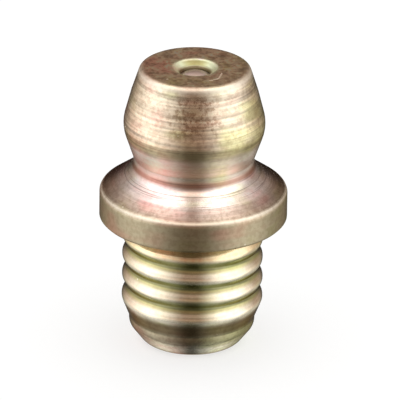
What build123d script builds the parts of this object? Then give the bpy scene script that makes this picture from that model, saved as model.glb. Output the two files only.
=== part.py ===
from build123d import *
import os
from math import cos, radians, sin, sqrt, tan

# Drive-in grease nipple: a turned body with a ringed, hollow shank, the ball that closes
# the inlet in its head, and the coil spring that holds the ball against its seat.
# Millimetres. The axis is +Z, and the rolled-in end of the shank stands on z = 0.

# Shank, from its end up to the flange
END_D = 4.5             # where the rolled-in cone would meet the flat end
END_ROUNDING = 0.5
TIP_D = 5.8             # plain tip below the rings
TIP_CONE = 0.86         # height of the rolled-in cone
TIP_ROUNDING = 0.7
TIP_LENGTH = 1.2        # shank end to the foot of the lowest ring
RING_COUNT = 4
RING_PITCH = 1.0
RING_D = 6.5
ROOT_D = 6.16           # between the rings, and under the flange
RING_LAND = 0.2         # cylindrical crest that grips the hole
RING_LEAD = 21.5        # slope of a ring's lower flank off the axis, in degrees
RELIEF = 0.44           # straight neck between the highest ring and the seat

# Flange
FLANGE_D = 8.64
FLANGE_RIM = 1.37       # seat to the corner of the rim
FLANGE_SLOPE = 35.5     # top of the flange against the seat, in degrees
SEAT_CHAMFER = 0.1
SEAT_CLEARANCE = 0.03   # from the rings' diameter to the flat of the seat
RIM_ROUNDING = 0.45

# Head that the coupler grips
HEAD_D = 6.5
HEAD_HEIGHT = 4.67      # seat to the widest point
HEAD_BULGE = 1.8        # radius round the widest point
HEAD_TOP = 7.39         # seat to the flat top
TOP_D = 5.12
TOP_CHAMFER = 0.12
UNDER_SLOPE = 19.0      # cone below the widest point, off the axis, in degrees
OVER_SLOPE = 13.0       # where the curved flank above it starts, off the axis, in degrees
NECK_FILLET = 0.75

# Inlet, ball seat and bore
BALL_D = 2.38
INLET_D = 1.4
COUNTERSINK_D = 2.05
COUNTERSINK_DEPTH = 0.25
THROAT = 0.15           # straight length between the countersink and the seat
SEAT_CONE = 90.0        # included angle, in degrees
SEAT_GAP = 0.01         # between the closed ball and its seat
BALL_ROOM = 0.21        # round the ball, for the grease
SPRING_ROOM = 0.12      # round the spring
WIRE_D = 0.3
WIRE_SIDES = 6          # the round wire is drawn with flats, to keep its facets few
COILS = 7
SPRING_GAP = 0.02       # at both ends of the spring
LIP = 0.5               # thickness of the rolled-in lip
LIP_HOLD = 0.35         # how far the lip reaches under the spring
LIP_CHAMFER = 0.12

FULL_RUN = 0.98         # share of a run that the roundings at its two ends may use

ring_lead_height = (RING_D - ROOT_D) / 2 / tan(radians(RING_LEAD))
tip_lead_height = (RING_D - TIP_D) / 2 / tan(radians(RING_LEAD))
lowest_land = TIP_LENGTH + tip_lead_height
highest_foot = lowest_land + RING_COUNT * RING_PITCH - ring_lead_height
seat_z = highest_foot + RELIEF
top_z = seat_z + HEAD_TOP
under_cone = (RING_D - ROOT_D) / 2 + SEAT_CLEARANCE

bore_r = BALL_D / 2 + BALL_ROOM
spring_r = bore_r - SPRING_ROOM - WIRE_D / 2
outlet_r = spring_r + WIRE_D / 2 - LIP_HOLD
throat_z = top_z - COUNTERSINK_DEPTH - THROAT
seat_slope = radians(SEAT_CONE / 2)
ball_z = throat_z + INLET_D / 2 / tan(seat_slope) - (BALL_D / 2 + SEAT_GAP) / sin(seat_slope)
spring_bottom = LIP + SPRING_GAP
spring_top = ball_z - sqrt((BALL_D / 2) ** 2 - (spring_r - WIRE_D / 2) ** 2) - SPRING_GAP


def rounded_run(*corners):
    """A run through (radius, height, rounding) corners. A rounding gives way to short sides."""
    points = [Vector(r, 0, z) for r, z, _ in corners]
    roundings = []
    for i, (_, _, rounding) in enumerate(corners[1:-1], 1):
        before, after = points[i] - points[i - 1], points[i + 1] - points[i]
        room = min(before.length, after.length) * FULL_RUN / 2
        half_turn = radians(before.get_angle(after)) / 2
        roundings.append(min(rounding, room / tan(half_turn)))
    return FilletPolyline(*points, radius=roundings)


def ring_corners():
    """Rings from the lowest up: a gentle lower flank, a land and a steeper upper flank."""
    corners = [(TIP_D / 2, TIP_LENGTH, 0)]
    for ring in range(RING_COUNT):
        land_z = lowest_land + ring * RING_PITCH
        corners += [
            (RING_D / 2, land_z, 0),
            (RING_D / 2, land_z + RING_LAND, 0),
            (ROOT_D / 2, land_z + RING_PITCH - ring_lead_height, 0),
        ]
    return corners


def body_outline():
    """Half section of the body: up the outside, then down the passage to the lip."""
    widest_z = seat_z + HEAD_HEIGHT
    bulge_centre = Vector(HEAD_D / 2 - HEAD_BULGE, 0, widest_z)

    def on_bulge(degrees):
        return bulge_centre + Vector(cos(radians(degrees)), 0, sin(radians(degrees))) * HEAD_BULGE

    under, over = on_bulge(-UNDER_SLOPE), on_bulge(OVER_SLOPE)
    bulge = ThreePointArc(under, on_bulge(0), over)
    top_rim = Vector(TOP_D / 2, 0, top_z - TOP_CHAMFER)
    flank = TangentArc(over, top_rim, tangent=bulge % 1)

    # the neck's corner is where the flange's cone would meet the cone under the head
    rim = Vector(FLANGE_D / 2, 0, seat_z + FLANGE_RIM)
    rise, lean = tan(radians(FLANGE_SLOPE)), tan(radians(UNDER_SLOPE))
    neck_z = (rim.Z + (rim.X - under.X + lean * under.Z) * rise) / (1 + lean * rise)
    neck_r = under.X - lean * (under.Z - neck_z)
    outside = rounded_run(
        (bore_r, LIP, 0),
        (outlet_r, LIP, 0),
        (outlet_r, LIP_CHAMFER, 0),
        (outlet_r + LIP_CHAMFER, 0, 0),
        (END_D / 2, 0, END_ROUNDING),
        (TIP_D / 2, TIP_CONE, TIP_ROUNDING),
        *ring_corners(),
        (ROOT_D / 2, seat_z - under_cone, 0),
        (ROOT_D / 2 + under_cone, seat_z, 0),
        (rim.X - SEAT_CHAMFER, seat_z, 0),
        (rim.X, seat_z + SEAT_CHAMFER, 0),
        (rim.X, rim.Z, RIM_ROUNDING),
        (neck_r, neck_z, NECK_FILLET),
        (under.X, under.Z, 0),
    )
    passage = rounded_run(
        (top_rim.X, top_rim.Z, 0),
        (TOP_D / 2 - TOP_CHAMFER, top_z, 0),
        (COUNTERSINK_D / 2, top_z, 0),
        (INLET_D / 2, top_z - COUNTERSINK_DEPTH, 0),
        (INLET_D / 2, throat_z, 0),
        (bore_r, throat_z - (bore_r - INLET_D / 2) / tan(seat_slope), 0),
        (bore_r, LIP, 0),
    )
    return Wire([*outside.edges(), *bulge.edges(), *flank.edges(), *passage.edges()])


def make_body():
    return revolve(make_face(body_outline()), Axis.Z)


def make_ball():
    return Pos(0, 0, ball_z) * Sphere(BALL_D / 2)


def make_spring():
    """Open coils with both ends ground flat, standing on the lip and holding the ball up."""
    length = spring_top - spring_bottom
    pitch = length / COILS
    path = Helix(pitch, length + WIRE_D, spring_r, center=(0, 0, spring_bottom - WIRE_D / 2))
    section = Plane(origin=path @ 0, z_dir=path % 0) * RegularPolygon(WIRE_D / 2, WIRE_SIDES)
    wire = sweep(section, path, is_frenet=True)
    ground = Pos(0, 0, spring_bottom) * Cylinder(
        spring_r + WIRE_D, length, align=(Align.CENTER, Align.CENTER, Align.MIN)
    )
    return wire & ground


os.makedirs("parts", exist_ok=True)
for node, shape in {
    "body": make_body(),
    "check_ball": make_ball(),
    "spring": make_spring(),
}.items():
    export_step(shape, f"parts/{node}.step")

print(f"length {top_z:.3f}, seat at {seat_z:.3f}, lowest land at {lowest_land:.3f}")
print(f"ball centre {ball_z:.3f}, spring {spring_bottom:.3f} to {spring_top:.3f}")
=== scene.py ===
from math import cos, pi, radians, sin, tan

import bpy
import numpy as np
from mathutils import Matrix, Vector, noise


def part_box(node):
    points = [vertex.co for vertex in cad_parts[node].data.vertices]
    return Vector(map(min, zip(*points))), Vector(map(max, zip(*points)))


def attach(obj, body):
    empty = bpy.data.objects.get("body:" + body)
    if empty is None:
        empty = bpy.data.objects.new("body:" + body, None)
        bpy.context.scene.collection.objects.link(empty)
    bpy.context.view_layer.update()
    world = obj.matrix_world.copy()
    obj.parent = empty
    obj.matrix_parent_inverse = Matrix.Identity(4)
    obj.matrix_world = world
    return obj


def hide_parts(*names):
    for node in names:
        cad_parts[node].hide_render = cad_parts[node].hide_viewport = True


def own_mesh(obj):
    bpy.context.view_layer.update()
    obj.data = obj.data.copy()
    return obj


# The looks of a drive-in grease nipple: a turned body, yellow passivated over zinc, with the
# ball in its inlet and the spring behind it. Outlines are in millimetres, meshes in metres,
# and the nipple stands on its rolled-in end with its axis on Z.

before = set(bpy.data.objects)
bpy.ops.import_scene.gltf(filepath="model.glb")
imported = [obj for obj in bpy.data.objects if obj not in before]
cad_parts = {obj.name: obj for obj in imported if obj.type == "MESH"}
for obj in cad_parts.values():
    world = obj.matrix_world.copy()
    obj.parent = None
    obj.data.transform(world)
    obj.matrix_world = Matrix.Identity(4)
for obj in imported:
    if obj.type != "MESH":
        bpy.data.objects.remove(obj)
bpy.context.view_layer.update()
MM = 0.001

# ---------------------------------------------------------------- camera
ELEVATION = 23.7                # degrees above the horizon
DISTANCE = 350.0                # mm, from the point aimed at
PIXELS_PER_MM = 21.74           # at that point
FRAME_PIXELS = 400
SENSOR = 36.0                   # mm
NEAR, FAR = 0.01, 10.0          # m, the camera's clipping
ROLL = 0.85                     # degrees: the nipple leans to the right in the picture
SEAT_PIXEL = (193.12, 215.3)    # where the axis crosses the plane of the seat

# ---------------------------------------------------------------- outline, in mm and degrees
# From the rolled-in end up. Heights of flange and head are from the seat.
LIP, LIP_CHAMFER = 0.5, 0.12
BORE_R, OUTLET_R, INLET_R = 1.4, 0.93, 0.7
END_R, END_ROUNDING = 2.25, 0.5
TIP_R, TIP_CONE, TIP_ROUNDING, TIP_LENGTH, TIP_EDGE = 2.9, 0.86, 0.7, 1.2, 0.08
RING_COUNT, RING_PITCH, RING_R, RING_LAND = 4, 1.0, 3.25, 0.2
LOWEST_LAND, RING_FOOT, ROOT_R, ROOT_ROUNDING = 2.089, 0.568, 3.01, 0.40
RING_EDGE, RING_SHOULDER = 0.30, 0.5    # roundings below and above a ring's land
TURNED_EDGE = 0.02                      # what a sharp turned corner has
SEAT_Z, SEAT_CLEARANCE, SEAT_CHAMFER = 6.097, 0.03, 0.1
FLANGE_R, FLANGE_RIM, FLANGE_SLOPE, RIM_ROUNDING = 4.32, 1.37, 35.5, 0.28
HEAD_R, HEAD_HEIGHT, HEAD_BULGE, HEAD_TOP = 3.25, 4.67, 1.8, 7.39
UNDER_SLOPE, OVER_SLOPE, NECK_FILLET = 19.0, 13.0, 0.75
TOP_R, TOP_EDGE, TOP_ROUNDING = 2.56, 0.12, 0.40
FLANK_END = 0.3             # below the top, where the top's rounding takes over
COUNTERSINK_R, COUNTERSINK_DEPTH, THROAT = 1.025, 0.25, 0.15
COUNTERSINK_ROUNDING, INLET_ROUNDING = 0.14, 0.07

# Turning and rolling leave the rings slightly out of square and their crests uneven
RING_TILT = 0.07                                    # down on one side and up on the other
TILTED = (1.9, 3.4, 5.2, 5.6), (0, 1, 1, 0)         # heights, and how much of the tilt is there
SHANK_R = 2.8                                       # outside it lies the shank's surface
CREST_WEAR = 0.02
CREST = (3.15, 3.25), (0, 1)                        # radii, and how much of the wear is there
WEAR_ACROSS, WEAR_ALONG, WEAR_FREE = 2.5, 0.9, 0.35

SIDES = 288                 # facets round the axis
ARC_STEP = 7.0              # degrees between points on a rounding
LINE_STEP = 0.13            # mm between points on a straight
PASSAGE_STEP = 0.8          # the same in the bore
LEAST_REACH = 1e-6          # a rounding smaller than this is a plain corner
FULL_RUN = 0.49             # share of a run that one rounding may use

BALL_ROWS, BALL_COLUMNS = 64, 96
SPRING_R, WIRE_R, COILS = 1.13, 0.15, 7     # the first is to the middle of the wire
WIRE_SIDES, COIL_STEPS = 16, 48


# ---------------------------------------------------------------- body's outline
def rounded_run(corners, step):
    """Points along a run through (radius, height, rounding) corners."""
    places = [Vector(c[:2]) for c in corners]
    run = [places[0]]
    for i in range(1, len(corners) - 1):
        here, rounding = places[i], corners[i][2]
        before, after = places[i - 1] - here, places[i + 1] - here
        half = before.angle(after) / 2
        reach = min(rounding / tan(half), FULL_RUN * min(before.length, after.length))
        if reach < LEAST_REACH:
            run.append(here)
            continue
        rounding = reach * tan(half)
        before.normalize()
        after.normalize()
        centre = here + (before + after).normalized() * rounding / sin(half)
        run += arc(centre, here + before * reach, here + after * reach)
    run.append(places[-1])
    return split(run, step)


def arc(centre, start, end):
    """Points from start to end on the circle about centre, the shorter way round."""
    first = start - centre
    turn = first.angle_signed(end - centre)
    count = max(2, int(abs(turn) / radians(ARC_STEP)) + 1)
    return [centre + Matrix.Rotation(-turn * k / count, 2) @ first for k in range(count + 1)]


def split(run, step):
    """The same run with points no further apart than step."""
    points = [run[0]]
    for a, b in zip(run, run[1:]):
        count = max(1, int((b - a).length / step + 0.5))
        points += [a.lerp(b, k / count) for k in range(1, count + 1)]
    return points


def shank_corners():
    """Corners from the lip's upper face round the end and up over the rings."""
    corners = [
        (BORE_R, LIP, 0),
        (OUTLET_R, LIP, TURNED_EDGE),
        (OUTLET_R, LIP_CHAMFER, LIP_CHAMFER / 2),
        (OUTLET_R + LIP_CHAMFER, 0, LIP_CHAMFER / 2),
        (END_R, 0, END_ROUNDING),
        (TIP_R, TIP_CONE, TIP_ROUNDING),
        (TIP_R, TIP_LENGTH, TIP_EDGE),
    ]
    for ring in range(RING_COUNT):
        land = LOWEST_LAND + ring * RING_PITCH
        corners += [
            (RING_R, land, RING_EDGE),
            (RING_R, land + RING_LAND, RING_SHOULDER),
            (ROOT_R, land + RING_FOOT, ROOT_ROUNDING),
        ]
    return corners


def body_outline():
    """Half section of the body, closed: up the outside and down the passage."""
    widest = SEAT_Z + HEAD_HEIGHT
    middle = Vector((HEAD_R - HEAD_BULGE, widest))
    under = middle + Vector((cos(radians(UNDER_SLOPE)), -sin(radians(UNDER_SLOPE)))) * HEAD_BULGE
    over = middle + Vector((cos(radians(OVER_SLOPE)), sin(radians(OVER_SLOPE)))) * HEAD_BULGE
    top = SEAT_Z + HEAD_TOP
    rim = Vector((FLANGE_R, SEAT_Z + FLANGE_RIM))
    rise, lean = tan(radians(FLANGE_SLOPE)), tan(radians(UNDER_SLOPE))
    neck_z = (rim.y + (rim.x - under.x + lean * under.y) * rise) / (1 + lean * rise)
    neck = Vector((under.x - lean * (under.y - neck_z), neck_z))
    under_cone = RING_R - ROOT_R + SEAT_CLEARANCE
    outside = rounded_run([
        *shank_corners(),
        (ROOT_R, SEAT_Z - under_cone, under_cone),
        (ROOT_R + under_cone, SEAT_Z, TURNED_EDGE),
        (FLANGE_R - SEAT_CHAMFER, SEAT_Z, TURNED_EDGE),
        (FLANGE_R, SEAT_Z + SEAT_CHAMFER, SEAT_CHAMFER / 2),
        (*rim, RIM_ROUNDING),
        (*neck, NECK_FILLET),
        (*under, 0),
    ], LINE_STEP)
    # the flank above the bulge is the arc that leaves it tangentially and ends at the top edge
    chord = Vector((TOP_R, top - TOP_EDGE)) - over
    inward = Vector((-cos(radians(OVER_SLOPE)), -sin(radians(OVER_SLOPE))))
    flank_radius = chord.length_squared / (2 * chord.dot(inward))
    flank = split(arc(over + inward * flank_radius, over, over + chord), LINE_STEP)
    while flank[-1].y > top - FLANK_END:
        end = flank.pop()
    slope = (flank[-1].x - end.x) / (end.y - flank[-1].y)
    inlet_z = top - COUNTERSINK_DEPTH
    passage = rounded_run([
        (*flank[-1], 0),
        (end.x - slope * (top - end.y), top, TOP_ROUNDING),
        (COUNTERSINK_R, top, COUNTERSINK_ROUNDING),
        (INLET_R, inlet_z, INLET_ROUNDING),
        (INLET_R, inlet_z - THROAT, 0),
        (BORE_R, inlet_z - THROAT - (BORE_R - INLET_R), 0),
    ], LINE_STEP)
    bore = split([passage[-1], Vector((BORE_R, LIP))], PASSAGE_STEP)
    run = [*outside, *arc(middle, under, over)[1:], *flank[1:], *passage[1:], *bore[1:-1]]
    return np.array(run)


# ---------------------------------------------------------------- meshes
def mesh_object(name, points, faces, body):
    """A smooth mesh from points in mm, riding on a CAD body."""
    mesh = bpy.data.meshes.new(name)
    mesh.from_pydata((np.asarray(points) * MM).tolist(), [], faces)
    mesh.shade_smooth()
    piece = bpy.data.objects.new(name, mesh)
    bpy.context.collection.objects.link(piece)
    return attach(piece, body)


def grid_faces(rows, columns, closed_rows):
    """Quads over a grid of points whose columns close round the axis."""
    faces = []
    for i in range(rows if closed_rows else rows - 1):
        low, high = i * columns, (i + 1) % rows * columns
        for j in range(columns):
            k = (j + 1) % columns
            faces.append((low + j, low + k, high + k, high + j))
    return faces


def unround(points, outline, round_the_axis):
    """Tilt the rings and wear their crests, in place."""
    radius, height = outline[:, 0], outline[:, 1]
    on_rings = np.interp(height, *TILTED) * (radius > SHANK_R)
    points[..., 2] -= RING_TILT * on_rings[:, None] * round_the_axis[:, 0]
    crest = np.interp(radius, *CREST) * on_rings
    for i in np.flatnonzero(crest > 0):
        for j, (x, y) in enumerate(round_the_axis):
            place = Vector((WEAR_ACROSS * x, WEAR_ACROSS * y, WEAR_ALONG * height[i]))
            wear = min(noise.noise(place) - WEAR_FREE, 0)
            points[i, j, :2] *= 1 + crest[i] * CREST_WEAR * wear / radius[i]


def make_body():
    """The turned body. Its attribute "run" is the distance along the outline, in mm."""
    outline = body_outline()
    angles = np.linspace(0, 2 * pi, SIDES, endpoint=False)
    round_the_axis = np.stack([np.cos(angles), np.sin(angles)], 1)
    points = np.empty((len(outline), SIDES, 3))
    points[..., :2] = outline[:, None, :1] * round_the_axis
    points[..., 2] = outline[:, None, 1]
    unround(points, outline, round_the_axis)
    faces = grid_faces(len(outline), SIDES, True)
    piece = mesh_object("turned_body", points.reshape(-1, 3), faces, "nipple")
    steps = np.linalg.norm(np.diff(outline, axis=0), axis=1)
    along = np.concatenate([[0], np.cumsum(steps)])
    run = piece.data.attributes.new("run", "FLOAT", "POINT")
    run.data.foreach_set("value", np.repeat(along, SIDES).astype(np.float32))
    piece.data.materials.append(plated_material(outline, along))
    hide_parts("body")


def make_ball():
    low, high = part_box("check_ball")
    centre = Vector((0, 0, (low.z + high.z) / 2 / MM))
    radius = (high.z - low.z) / 2 / MM
    points = []
    for i in range(1, BALL_ROWS):
        tilt = pi * i / BALL_ROWS
        for j in range(BALL_COLUMNS):
            turn = 2 * pi * j / BALL_COLUMNS
            out = Vector((sin(tilt) * cos(turn), sin(tilt) * sin(turn), cos(tilt)))
            points.append(centre + radius * out)
    # the rows run downwards, so the faces are turned over
    faces = [face[::-1] for face in grid_faces(BALL_ROWS - 1, BALL_COLUMNS, False)]
    top, bottom = len(points), len(points) + 1
    points += [centre + Vector((0, 0, radius)), centre - Vector((0, 0, radius))]
    for j in range(BALL_COLUMNS):
        k = (j + 1) % BALL_COLUMNS
        faces.append((top, j, k))
        faces.append((bottom, top - BALL_COLUMNS + k, top - BALL_COLUMNS + j))
    piece = mesh_object("inlet_ball", points, faces, "ball")
    piece.data.materials.append(ball_material())
    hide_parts("check_ball")


def make_spring():
    """Round wire whose end turns are cut off flat, as if ground, by the planes they stand on."""
    low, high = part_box("spring")
    bottom, top = low.z / MM, high.z / MM
    pitch = (top - bottom) / COILS
    points = []
    steps = COILS * COIL_STEPS
    for i in range(steps + 1):
        turn = 2 * pi * i / COIL_STEPS
        height = bottom + pitch * i / COIL_STEPS
        for j in range(WIRE_SIDES):
            across = 2 * pi * j / WIRE_SIDES
            r = SPRING_R + WIRE_R * cos(across)
            z = min(max(height + WIRE_R * sin(across), bottom), top)
            points.append((r * cos(turn), r * sin(turn), z))
    faces = grid_faces(steps + 1, WIRE_SIDES, False)
    last = steps * WIRE_SIDES
    faces += [tuple(range(WIRE_SIDES)), tuple(reversed(range(last, last + WIRE_SIDES)))]
    piece = mesh_object("coil_spring", points, faces, "nipple")
    piece.data.materials.append(spring_material(bottom, top))
    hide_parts("spring")
    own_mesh(piece)


# ---------------------------------------------------------------- node trees
class Graph:
    """A short way to write a node tree: each call adds nodes and returns an output.

    A value is a number, another node's output, or a colour without its alpha.
    """

    def __init__(self, tree):
        self.tree = tree
        tree.nodes.clear()

    def node(self, kind, inputs, output=0, **settings):
        made = self.tree.nodes.new("ShaderNode" + kind)
        for name, value in settings.items():
            setattr(made, name, value)
        for key, value in inputs.items():
            socket = made.inputs[key]
            if isinstance(value, bpy.types.NodeSocket):
                self.tree.links.new(value, socket)
            else:
                socket.default_value = (*value, 1) if socket.type == "RGBA" else value
        return made.outputs[output] if made.outputs else made

    def math(self, operation, *values):
        return self.node("Math", dict(enumerate(values)), operation=operation)

    def plus(self, a, b):
        return self.math("ADD", a, b)

    def minus(self, a, b):
        return self.math("SUBTRACT", a, b)

    def times(self, first, *others):
        for other in others:
            first = self.math("MULTIPLY", first, other)
        return first

    def over(self, a, b):
        return self.math("DIVIDE", a, b)

    def larger(self, a, b):
        return self.math("MAXIMUM", a, b)

    def apart(self, a, b):
        """How far a is from b, without its sign."""
        return self.math("ABSOLUTE", self.minus(a, b))

    def hypot(self, x, y):
        return self.math("SQRT", self.plus(self.times(x, x), self.times(y, y)))

    def step(self, value, low, high, to_low=0.0, to_high=1.0):
        """A smooth change from to_low to to_high as value goes from low to high."""
        inputs = {
            "Value": value, "From Min": low, "From Max": high, "To Min": to_low, "To Max": to_high,
        }
        return self.node("MapRange", inputs, interpolation_type="SMOOTHSTEP")

    def fall(self, value, low, high):
        """A smooth change from one down to zero."""
        return self.step(value, low, high, 1.0, 0.0)

    def between(self, value, rise, fall):
        """One between a rising and a falling edge, each (low, high), and zero outside."""
        return self.times(self.step(value, *rise), self.fall(value, *fall))

    def blend(self, factor, a, b, mode="MIX"):
        inputs = {0: factor, 6: a, 7: b}
        return self.node("Mix", inputs, 2, data_type="RGBA", blend_type=mode)

    def split(self, kind, value):
        """The three parts of a vector ("XYZ") or a colour ("Color")."""
        made = self.tree.nodes.new("ShaderNodeSeparate" + kind)
        self.tree.links.new(value, made.inputs[0])
        return made.outputs[:3]

    def place(self):
        """The place on the piece, in mm."""
        in_metres = self.node("TexCoord", {}, "Object")
        return self.node("Mapping", {"Vector": in_metres, "Scale": (1 / MM,) * 3})

    def noise(self, vector, scale, detail, rough):
        inputs = {"Vector": vector, "Scale": scale, "Detail": detail, "Roughness": rough}
        return self.node("TexNoise", inputs)

    def ramp(self, value, stops):
        made = self.tree.nodes.new("ShaderNodeValToRGB")
        self.tree.links.new(value, made.inputs[0])
        ramp = made.color_ramp
        for i, (place, colour) in enumerate(stops):
            stop = ramp.elements[i] if i < 2 else ramp.elements.new(place)
            stop.position, stop.color = place, (*colour, 1)
        return made.outputs[0]

    def metal(self, colour, roughness, relief, edge_tint, strength, depth):
        """The finished surface. The relief is as deep as depth, in mm."""
        bump = {"Strength": strength, "Distance": depth * MM, "Height": relief}
        surface = {
            "Base Color": colour, "Metallic": 1.0, "Roughness": roughness,
            "Normal": self.node("Bump", bump), "Specular Tint": edge_tint,
        }
        self.node("OutputMaterial", {"Surface": self.node("BsdfPrincipled", surface)})


def new_material(name):
    material = bpy.data.materials.new(name)
    material.use_nodes = True
    return material, Graph(material.node_tree)


# ---------------------------------------------------------------- plated body
# The passivation takes another colour in each zone of the outline, and the zones so marked carry
# painted shade or a painted highlight. Each zone is given by its lower and upper height from the
# seat, in mm, and the colours run together between zones.
ZONES = [
    (-5.95, -5.95, (0.60, 0.56, 0.44)),     # edge of the flat end
    (-5.80, -5.60, (0.78, 0.75, 0.60)),     # rolled-in cone
    (-5.20, -4.90, (0.43, 0.38, 0.27)),     # plain tip
    (-4.75, -4.28, (0.26, 0.20, 0.12)),     # lower flank of the lowest ring, darkened as painted shade where it faces down
    (-4.04, -1.40, (0.98, 0.91, 0.72)),     # rings
    (-0.90, -0.55, (0.98, 0.84, 0.54)),     # above the rings
    (-0.25, -0.25, (0.50, 0.41, 0.25)),     # cone under the flange, darkened as the flange's painted shadow
    (0.05, 1.24, (0.43, 0.38, 0.26)),       # flange's side
    (1.40, 1.40, (0.60, 0.56, 0.43)),       # rim, lighter as a painted highlight line
    (1.54, 1.54, (0.50, 0.41, 0.34)),       # flange's top, outside
    (1.82, 1.82, (0.69, 0.59, 0.52)),       # flange's top, inside
    (1.98, 2.46, (1.00, 0.92, 0.89)),       # fillet
    (2.58, 2.76, (0.45, 0.30, 0.24)),       # neck, darkened as painted shade in the crease
    (2.94, 3.86, (1.00, 0.90, 0.79)),       # cone under the head
    (4.12, 4.45, (0.61, 0.51, 0.33)),       # below the bulge
    (4.75, 4.75, (0.74, 0.64, 0.50)),       # head, at the bulge
    (7.10, 7.10, (0.78, 0.72, 0.57)),       # head, at the top
]
# The same over the top and down the passage, by radius
TOP_ZONES = [
    (COUNTERSINK_R + 0.20, (0.95, 0.83, 0.65)),     # top face
    (COUNTERSINK_R, (0.88, 1.00, 0.74)), (INLET_R + 0.06, (0.88, 1.00, 0.74)),  # countersink
    (INLET_R + 0.015, (0.36, 0.33, 0.21)),          # passage, darkened as painted shade in the bore
]
SINK_BACK_SHADE = (0.50, 0.50, 0.24)      # painted shade on the side of the countersink that faces the camera
GROOVE_FILM_AND_SHADE = (0.42, 0.42, 0.17)         # between the rings in the film's green, darkened as painted shade, and painted shade wherever the rings face down
DARK_GRAIN = (0.72, 0.60, 0.53)     # multiplied on
WORN_AND_HIGHLIGHT = (1.00, 0.95, 0.82)           # where handling has rubbed the zinc bright, and painted highlight lines on the rim and the head's top edge
EDGE_TINT = (0.50, 0.44, 0.38)      # of what the metal reflects at a grazing angle

# The finish by height: how marked the turning streaks and the grain are, and the roughness
FINISH = [
    (-5.90, (0.25, 0.25, 0.24)), (-4.30, (0.25, 0.25, 0.24)),   # end and tip
    (-4.05, (0.15, 0.12, 0.15)), (-1.20, (0.15, 0.12, 0.15)),   # rings
    (-0.30, (0.20, 0.25, 0.22)),                                # cone under the flange
    (0.10, (0.15, 0.24, 0.32)), (1.25, (0.15, 0.24, 0.32)),     # flange's side
    (1.50, (0.50, 0.40, 0.24)), (1.90, (0.50, 0.20, 0.18)),     # flange's top
    (2.80, (0.15, 0.12, 0.27)), (3.85, (0.25, 0.15, 0.27)),     # neck and cone
    (4.40, (1.00, 0.30, 0.26)), (7.30, (1.00, 0.32, 0.26)),     # head
]
TOP_FINISH = [
    (TOP_R - 0.05, (0.15, 0.60, 0.32)), (COUNTERSINK_R + 0.15, (0.15, 0.60, 0.32)),
    (COUNTERSINK_R, (0.30, 0.10, 0.50)), (INLET_R + 0.02, (0.30, 0.10, 0.50)),
    (INLET_R, (0.10, 0.20, 0.55)),
]
# Edges that are rubbed bright, where the flange's rim and the head's top edge are painted
# highlight lines: height from the seat, half the width, and how bare
WORN_AND_HIGHLIGHT_EDGES = [(-6.05, 0.03, 0.3), (1.40, 0.05, 1.0), (7.26, 0.22, 1.0)]
WORN_CREST = 0.08, 0.8

# Marks that run round the axis: how far they reach round it, how many there are to a
# millimetre of outline, and the detail and roughness of their noise
FINE_MARKS = 0.9, 5.5, 2.0, 0.55
BROAD_MARKS = 1.3, 2.2, 2.0, 0.5
TOOL_MARKS = 0.7, 9.0, 1.0, 0.4
# Mottling: how many patches there are to a millimetre, and the detail and roughness
GRAIN = 4.4, 3.0, 0.62
PATCHES = 0.5, 1.5, 0.5
CLOUDS = 2.0, 2.0, 0.5

# Soft edges: where each starts and where it ends. It goes from 0 to 1, unless two more values
# say what it goes between. Heights are in mm from the seat, and radii in mm.
RINGS = (-4.05, -3.95), (-1.0, -0.8)
FILLET = (1.65, 1.9), (2.4, 3.2)
ON_TOP = HEAD_TOP - 0.05, HEAD_TOP - 0.01
BELOW_TOP = HEAD_TOP - 0.02, HEAD_TOP - 0.08
ABOVE_THROAT = HEAD_TOP - COUNTERSINK_DEPTH, HEAD_TOP - COUNTERSINK_DEPTH + 0.06
IN_SINK, IN_GROOVE = (1.10, 1.02), (ROOT_R + 0.03, RING_R - 0.08)   # radii
TURNED_DOWN = 0.0, -0.40                    # of the normal's Z
AT_BACK, AT_FRONT = (0.60, 1.00), (-0.88, -1.0)         # of Y over the radius

# Interference tints, multiplied on: the colour, the drift over which it comes in, and how
# much of it there is on the rings. The drift goes with the side, the patches and the marks.
TINTS = [((1.08, 0.82, 0.86), (0.05, -0.75), 0.2), ((0.93, 1.03, 0.78), (0.05, 0.75), 0.5)]
BY_SIDE, BY_PATCHES, BY_MARKS = 0.30, 2.6, 1.3
STREAK_GAIN, STREAK_MIDDLE = 1.1, 1.12      # of the fine marks and the tool marks together
DARK_AT, SPECKLE = (0.56, 0.38), (0.35, 0.62, -0.16, 0.22)          # of the grain
STAIN = (4.8, 5.7), (7.1, 6.7, 0.0, 0.65)   # grain that is added on the front of the head
CUTS, CUT_SHADE = (0.58, 0.68), 0.60
CLOUD_GAIN = 1.6
# Nicks: how many places for one there are to a millimetre, the size by the place's random
# number, which leaves nearly half of them empty, and the soft edge
NICKS, NICK_SIZES, NICK_EDGE = 1.6, (0.45, 1.0, 0.0, 0.085), (-0.03, 0.0)
# The scratch beside the inlet: its two ends in degrees from +X, the distance from the axis
# that it goes through as it turns, and its soft edge
SCRATCH, SCRATCH_R = ((-74.0, -66.0), (-32.0, -26.0)), (-56.0, -28.0, 1.70, 1.40)
SCRATCH_EDGE = 0.02, 0.06
NICK_BARE, WORN_AND_HIGHLIGHT_BY_GRAIN = 0.8, (0.30, 0.55, 0.70, 0.90)
SPECKLE_DULLS, BARE_AND_HIGHLIGHT_DULLS = -0.16, 0.28
GRAIN_STANDS, CUTS_LIE, NICKS_LIE = 1.4, 0.6, 1.2       # shares of the relief
PLATED_RELIEF = 0.35, 0.012                 # strength, and depth in mm


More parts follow.
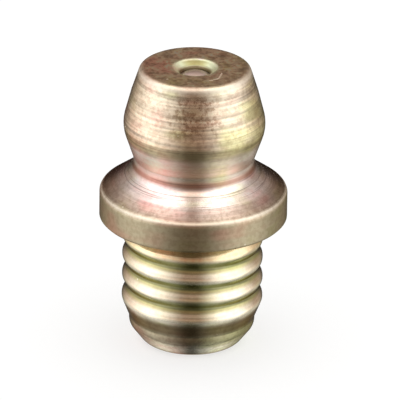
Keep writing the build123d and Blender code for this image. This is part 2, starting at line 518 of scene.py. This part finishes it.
def outline_stops(outline, along):
    """Colours, finishes, rubbed edges and painted highlight lines, as ramp stops over the
    outline's length.
    """
    foot, summit = int(np.argmin(outline[:, 1])), int(np.argmax(outline[:, 1]))
    heights, lengths = outline[foot:summit + 1, 1], along[foot:summit + 1]

    def outside(height):
        return float(np.interp(height + SEAT_Z, heights, lengths)) / along[-1]

    def inside(radius):
        return along[summit + int(np.argmax(outline[summit:, 0] <= radius))] / along[-1]

    colours = [(outside(z), paint) for low, high, paint in ZONES for z in sorted({low, high})]
    colours += [(inside(radius), paint) for radius, paint in TOP_ZONES]
    colours.append((1.0, colours[-1][1]))
    finishes = [(outside(z), finish) for z, finish in FINISH]
    finishes += [(inside(radius), finish) for radius, finish in TOP_FINISH]
    crests = [
        (LOWEST_LAND - SEAT_Z + ring * RING_PITCH, *WORN_CREST) for ring in range(RING_COUNT)
    ]
    rubbed_and_highlit = []
    for z, half, bare_and_highlit in WORN_AND_HIGHLIGHT_EDGES + crests:
        for off, value in ((-half, 0), (0, bare_and_highlit), (half, 0)):
            rubbed_and_highlit.append((outside(z + off), (value,) * 3))
    return colours, finishes, sorted(rubbed_and_highlit)


def plated_material(outline, along):
    """Yellow passivated zinc, with what turning, plating and handling left on it, and painted
    shade and painted highlight lines in places.
    """
    material, g = new_material("yellow_passivated_zinc")
    colours, finishes, rubbed_and_highlit = outline_stops(outline, along)
    run = g.node("Attribute", {}, "Fac", attribute_name="run")
    share = g.over(run, float(along[-1]))
    streaked, grained, rough = g.split("Color", g.ramp(share, finishes))
    place = g.place()
    x, y, z = g.split("XYZ", place)
    radius, height = g.hypot(x, y), g.minus(z, SEAT_Z)
    turn_x, turn_y = g.over(x, radius), g.over(y, radius)
    in_rings, on_top = g.between(height, *RINGS), g.step(height, *ON_TOP)

    def round_marks(reach, along_run, detail, rough):
        parts = {
            "X": g.times(turn_x, reach), "Y": g.times(turn_y, reach), "Z": g.times(run, along_run),
        }
        return g.noise(g.node("CombineXYZ", parts), 1.0, detail, rough)

    fine_marks, tool_marks = round_marks(*FINE_MARKS), round_marks(*TOOL_MARKS)
    grain = g.noise(place, *GRAIN)

    # the zones, some with painted shade or a painted highlight; the grooves and down-facing flanks
    # of the rings, in the film's green with painted shade; and painted shade on the back of the
    # countersink
    facing = g.split("XYZ", g.node("NewGeometry", {}, "Normal"))[2]
    # painted shade: the grooves between the rings and every flank that faces down are darkened,
    # the grooves in the film's green
    groove_film_and_shade = g.larger(g.fall(radius, *IN_GROOVE), g.step(facing, *TURNED_DOWN))
    colour = g.blend(g.times(in_rings, groove_film_and_shade), g.ramp(share, colours), GROOVE_FILM_AND_SHADE)
    # painted shade on the back of the countersink, the side that faces the camera
    sink_back_shade = g.times(g.step(height, *BELOW_TOP), g.step(radius, *IN_SINK))
    sink_back_shade = g.times(sink_back_shade, g.step(height, *ABOVE_THROAT), g.step(turn_y, *AT_BACK))
    colour = g.blend(sink_back_shade, colour, SINK_BACK_SHADE)

    # interference tints: pink towards one side, green towards the other, broken up by patches
    patches = g.times(g.minus(g.noise(place, *PATCHES), 0.5), BY_PATCHES)
    marks = g.times(g.minus(round_marks(*BROAD_MARKS), 0.5), BY_MARKS)
    drift = g.plus(g.plus(g.times(turn_x, BY_SIDE), patches), marks)
    for tint, comes_in, on_rings in TINTS:
        amount = g.times(g.step(drift, *comes_in), g.step(in_rings, 0.0, 1.0, 1.0, on_rings))
        colour = g.blend(amount, colour, tint, "MULTIPLY")

    # the mottled grain of the coating, with more of it in a stain on the front of the head
    rise, fall = STAIN
    stain = g.times(g.step(turn_y, *AT_FRONT), g.step(height, *rise))
    grained = g.plus(grained, g.times(stain, g.step(height, *fall)))
    colour = g.blend(g.times(g.step(grain, *DARK_AT), grained), colour, DARK_GRAIN, "MULTIPLY")
    speckle = g.times(g.step(grain, *SPECKLE), grained)

    # turning marks, cuts that the form tool left in the fillet, and clouds on the top face
    streaks = g.plus(g.times(fine_marks, STREAK_GAIN), g.times(tool_marks, STREAK_GAIN))
    streaks = g.times(g.minus(streaks, STREAK_MIDDLE), streaked)
    cuts = g.times(g.step(tool_marks, *CUTS), g.between(height, *FILLET))
    clouds = g.minus(g.noise(place, *CLOUDS), 0.5)
    clouds = g.times(clouds, g.times(on_top, CLOUD_GAIN))
    tone = g.times(g.plus(1.0, streaks), g.plus(1.0, speckle))
    tone = g.times(tone, g.step(cuts, 0.0, 1.0, 1.0, CUT_SHADE), g.plus(1.0, clouds))
    tones = g.node("CombineXYZ", {"X": tone, "Y": tone, "Z": tone})
    colour = g.blend(1.0, colour, tones, "MULTIPLY")

    # nicks that catch the light, one scratch beside the inlet, the rubbed edges, and painted
    # highlight lines on the rim and the head's top edge
    cells = g.tree.nodes.new("ShaderNodeTexVoronoi")
    g.tree.links.new(place, cells.inputs["Vector"])
    cells.inputs["Scale"].default_value = NICKS
    size = g.step(g.split("Color", cells.outputs["Color"])[0], *NICK_SIZES)
    nick = g.fall(g.minus(cells.outputs["Distance"], size), *NICK_EDGE)
    angle = g.math("DEGREES", g.math("ARCTAN2", y, x))
    scratch = g.fall(g.apart(radius, g.step(angle, *SCRATCH_R)), *SCRATCH_EDGE)
    scratch = g.times(scratch, on_top, g.between(angle, *SCRATCH))
    # the rubbed edges take in painted highlight lines at the flange's rim and the head's top edge
    worn_and_highlit = g.times(g.ramp(share, rubbed_and_highlit), g.step(grain, *WORN_AND_HIGHLIGHT_BY_GRAIN))
    bare_and_highlit = g.larger(g.times(g.larger(nick, scratch), NICK_BARE), worn_and_highlit)
    colour = g.blend(bare_and_highlit, colour, WORN_AND_HIGHLIGHT)

    roughness = g.plus(rough, g.times(speckle, SPECKLE_DULLS))
    roughness = g.plus(roughness, g.times(bare_and_highlit, BARE_AND_HIGHLIGHT_DULLS))
    raised = g.plus(g.times(fine_marks, streaked), g.times(grain, grained, GRAIN_STANDS))
    sunk = g.plus(g.times(cuts, CUTS_LIE), g.times(nick, NICKS_LIE))
    g.metal(colour, roughness, g.minus(raised, sunk), EDGE_TINT, *PLATED_RELIEF)
    return material


# ---------------------------------------------------------------- ball and spring
BRIGHT_STEEL, HAZED_STEEL = (0.95, 0.86, 0.86), (0.82, 0.74, 0.70)
BALL_EDGE_TINT = (0.60, 0.58, 0.55)
LAPPING, HAZE = (14.0, 3.0, 0.7), (1.6, 3.0, 0.6)       # number to a mm, detail, roughness
HAZE_SHADES, HAZE_DULLS = (0.38, 0.62), (0.35, 0.65, 0.28, 0.42)
LAPPING_DULLS = 0.4, 0.6, -0.02, 0.03
BALL_RELIEF = 0.15, 0.003

BLUED_STEEL, PALE_STEEL = (0.30, 0.29, 0.31), (0.46, 0.42, 0.38)
DRAWN_STEEL, GROUND_STEEL = (0.58, 0.56, 0.54), (0.72, 0.71, 0.70)
SPRING_EDGE_TINT = (1.0, 1.0, 1.0)
MILL_SCALE = 3.0, 3.0, 0.6
DRAW_MARKS_TO_MM, DRAW_MARKS_TO_TURN = 16.0, 24.0
DRAW_MARKS = 1.0, 2.0, 0.6
SCALE_SHADES, SCALE_DULLS = (0.35, 0.65), (0.3, 0.7, 0.42, 0.28)
DRAW_SHADES = 0.35, 0.7, 0.0, 0.6
GROUND_FROM, GROUND_TO = 0.001, 0.012       # mm from the flat of each end
GROUND_POLISHES = 0.1
SPRING_RELIEF = 0.3, 0.006


def ball_material():
    """Hardened steel, ground and lapped, with the haze that old grease leaves."""
    material, g = new_material("lapped_steel")
    place = g.place()
    lapping, haze = g.noise(place, *LAPPING), g.noise(place, *HAZE)
    colour = g.blend(g.step(haze, *HAZE_SHADES), BRIGHT_STEEL, HAZED_STEEL)
    roughness = g.plus(g.step(haze, *HAZE_DULLS), g.step(lapping, *LAPPING_DULLS))
    g.metal(colour, roughness, lapping, BALL_EDGE_TINT, *BALL_RELIEF)
    return material


def spring_material(bottom, top):
    """Drawn wire with draw marks along it, blued by heat treatment, its ends ground bright."""
    material, g = new_material("spring_wire_steel")
    place = g.place()
    x, y, z = g.split("XYZ", place)
    turns = g.over(g.math("ARCTAN2", y, x), 2 * pi)
    climb = g.minus(g.times(z, COILS / (top - bottom)), turns)
    across = {
        "X": g.times(g.hypot(x, y), DRAW_MARKS_TO_MM), "Y": g.times(climb, DRAW_MARKS_TO_TURN),
        "Z": 0.0,
    }
    drawn, scale = g.noise(g.node("CombineXYZ", across), *DRAW_MARKS), g.noise(place, *MILL_SCALE)
    colour = g.blend(g.step(scale, *SCALE_SHADES), BLUED_STEEL, PALE_STEEL)
    colour = g.blend(g.step(drawn, *DRAW_SHADES), colour, DRAWN_STEEL)
    at_bottom = g.fall(z, bottom + GROUND_FROM, bottom + GROUND_TO)
    ground = g.larger(at_bottom, g.step(z, top - GROUND_TO, top - GROUND_FROM))
    colour = g.blend(ground, colour, GROUND_STEEL)
    roughness = g.minus(g.step(scale, *SCALE_DULLS), g.times(ground, GROUND_POLISHES))
    g.metal(colour, roughness, drawn, SPRING_EDGE_TINT, *SPRING_RELIEF)
    return material


# ---------------------------------------------------------------- studio
# The metal reflects a round tent that the camera doesn't see. Azimuths are from the front and
# elevations from the horizon, in degrees. Lists give strengths or colours by elevation.
TENT_R = 0.2                                            # m
LEFT, RIGHT = (-76.0, 0.0, 68.0), (69.0, 8.0, 60.0)     # azimuth, full within, none beyond
SIDES_LIT = [
    (-80, 0.10), (-70, 0.38), (-56, 0.60), (-37, 0.70), (-24, 0.92), (-12, 1.46), (-4, 1.26),
    (5, 1.24), (22, 1.28), (40, 1.45), (62, 1.50), (80, 1.0),
]
BEHIND = 136.0, 5.0, 36.0                               # the same, to both sides
BEHIND_LIT = [
    (-80, 0.3), (-60, 1.3), (-40, 0.5), (-22, 0.5), (-7, 0.22), (12, 0.08), (28, 0.14),
    (42, 0.26), (56, 0.0),
]
LOW_BACK = 146.0, 166.0
LOW_BACK_LIT = [(-70, 0.0), (-58, 0.8), (-42, 0.8), (-28, 0.0)]
HIGH_FRONT = 20.0, 55.0
HIGH_FRONT_LIT = [(38, 0.0), (55, 1.10), (75, 0.0)]
DIM_BACK, DIMMED = (125.0, 160.0), (0.0, 25.0, 0.9, 0.0)    # by azimuth, and by elevation
ROOM = [
    (-80, (0.03, 0.03, 0.02)), (-62, (0.08, 0.075, 0.055)), (-40, (0.09, 0.08, 0.06)),
    (-24, (0.155, 0.13, 0.095)), (-5, (0.36, 0.25, 0.19)), (10, (0.30, 0.20, 0.15)),
    (30, (0.20, 0.145, 0.11)), (45, (0.42, 0.30, 0.25)), (60, (0.66, 0.52, 0.42)),
    (72, (0.66, 0.52, 0.42)), (84, (0.34, 0.23, 0.18)),
]
WHITE = (1, 1, 1)
FLOOR_SIZE = 2.0                                        # m
FLOOR_PAPER = (0.45, 0.45, 0.45)
FLOOR_LIFT = 0.60           # light of its own, which brings the paper up to white


def make_tent():
    """Bright sides, a dark front between them, a paler top, a dim floor and light behind."""
    material, g = new_material("studio_tent")
    direction = g.node("VectorMath", {0: g.node("TexCoord", {}, "Object")}, operation="NORMALIZE")
    x, y, z = g.split("XYZ", direction)
    azimuth = g.math("DEGREES", g.math("ARCTAN2", x, g.times(y, -1.0)))
    elevation = g.math("DEGREES", g.math("ARCSINE", z))
    aside = g.math("ABSOLUTE", azimuth)
    up = g.over(g.plus(elevation, 90.0), 180.0)

    def panel(value, middle, inner, outer):
        return g.fall(g.apart(value, middle), inner, outer)

    def by_height(stops):
        return g.ramp(up, [
            ((degrees + 90) / 180, value if isinstance(value, tuple) else (value,) * 3)
            for degrees, value in stops
        ])

    sides = g.larger(panel(azimuth, *LEFT), panel(azimuth, *RIGHT))
    lit = g.times(sides, by_height(SIDES_LIT))
    lit = g.plus(lit, g.times(panel(aside, *BEHIND), by_height(BEHIND_LIT)))
    lit = g.plus(lit, g.times(g.step(aside, *LOW_BACK), by_height(LOW_BACK_LIT)))
    lamps = g.node("Emission", {"Color": WHITE, "Strength": lit})
    dim = g.times(g.step(aside, *DIM_BACK), g.step(elevation, *DIMMED))
    above = g.times(g.fall(aside, *HIGH_FRONT), by_height(HIGH_FRONT_LIT))
    strength = g.plus(g.minus(1.0, dim), above)
    room = g.node("Emission", {"Color": by_height(ROOM), "Strength": strength})
    g.node("OutputMaterial", {"Surface": g.node("AddShader", {0: lamps, 1: room})})
    material.cycles.emission_sampling = "NONE"
    bpy.ops.mesh.primitive_uv_sphere_add(segments=64, ring_count=32, radius=TENT_R)
    tent = bpy.context.object
    tent.name = "studio_tent"
    tent.data.materials.append(material)
    tent.visible_camera = tent.visible_diffuse = False
    tent.visible_shadow = tent.visible_transmission = False


def make_floor():
    """White paper that takes the nipple's shadow and can't be seen from below."""
    material, g = new_material("paper_floor")
    path = g.tree.nodes.new("ShaderNodeLightPath").outputs
    seen = g.larger(path["Is Camera Ray"], path["Is Glossy Ray"])
    seen = g.larger(seen, path["Is Transmission Ray"])
    paper = g.node("BsdfDiffuse", {"Color": FLOOR_PAPER})
    lift = g.node("Emission", {"Color": WHITE, "Strength": g.times(seen, FLOOR_LIFT)})
    above = g.node("AddShader", {0: paper, 1: lift})
    below = g.node("BsdfTransparent", {})
    backface = g.node("NewGeometry", {}, "Backfacing")
    surface = g.node("MixShader", {0: backface, 1: above, 2: below})
    g.node("OutputMaterial", {"Surface": surface})
    material.cycles.emission_sampling = "NONE"
    bpy.ops.mesh.primitive_plane_add(size=FLOOR_SIZE)
    floor = bpy.context.object
    floor.name = "floor"
    floor.data.materials.append(material)
    floor.visible_glossy = False


def make_world():
    world = bpy.data.worlds.new("white_studio")
    bpy.context.scene.world = world
    world.use_nodes = True
    g = Graph(world.node_tree)
    white = g.node("Background", {"Color": WHITE, "Strength": 1.0})
    g.node("OutputWorld", {"Surface": white})


def make_camera():
    """The seat's centre goes to SEAT_PIXEL. The camera is turned for that, not shifted."""
    tilt, roll = radians(ELEVATION), radians(ROLL)
    right, up = Vector((1, 0, 0)), Vector((0, sin(tilt), cos(tilt)))
    back = Vector((0, -cos(tilt), sin(tilt)))
    across = FRAME_PIXELS / 2 - SEAT_PIXEL[0]
    rise = SEAT_PIXEL[1] - FRAME_PIXELS / 2
    picture_right = right * cos(roll) + up * sin(roll)
    picture_up = up * cos(roll) - right * sin(roll)
    aim = Vector((0, 0, SEAT_Z)) + (picture_right * across + picture_up * rise) / PIXELS_PER_MM
    data = bpy.data.cameras.new("camera")
    data.sensor_width = SENSOR
    data.lens = PIXELS_PER_MM * DISTANCE / FRAME_PIXELS * SENSOR
    data.clip_start, data.clip_end = NEAR, FAR
    camera = bpy.data.objects.new("camera", data)
    turn = Matrix((picture_right, picture_up, back)).transposed().to_4x4()
    camera.matrix_world = Matrix.Translation((aim + back * DISTANCE) * MM) @ turn
    bpy.context.collection.objects.link(camera)
    bpy.context.scene.camera = camera


# ---------------------------------------------------------------- scene
make_camera()
make_world()
make_floor()
make_tent()
make_body()
make_ball()
make_spring()

bpy.context.scene.view_settings.view_transform = "Standard"
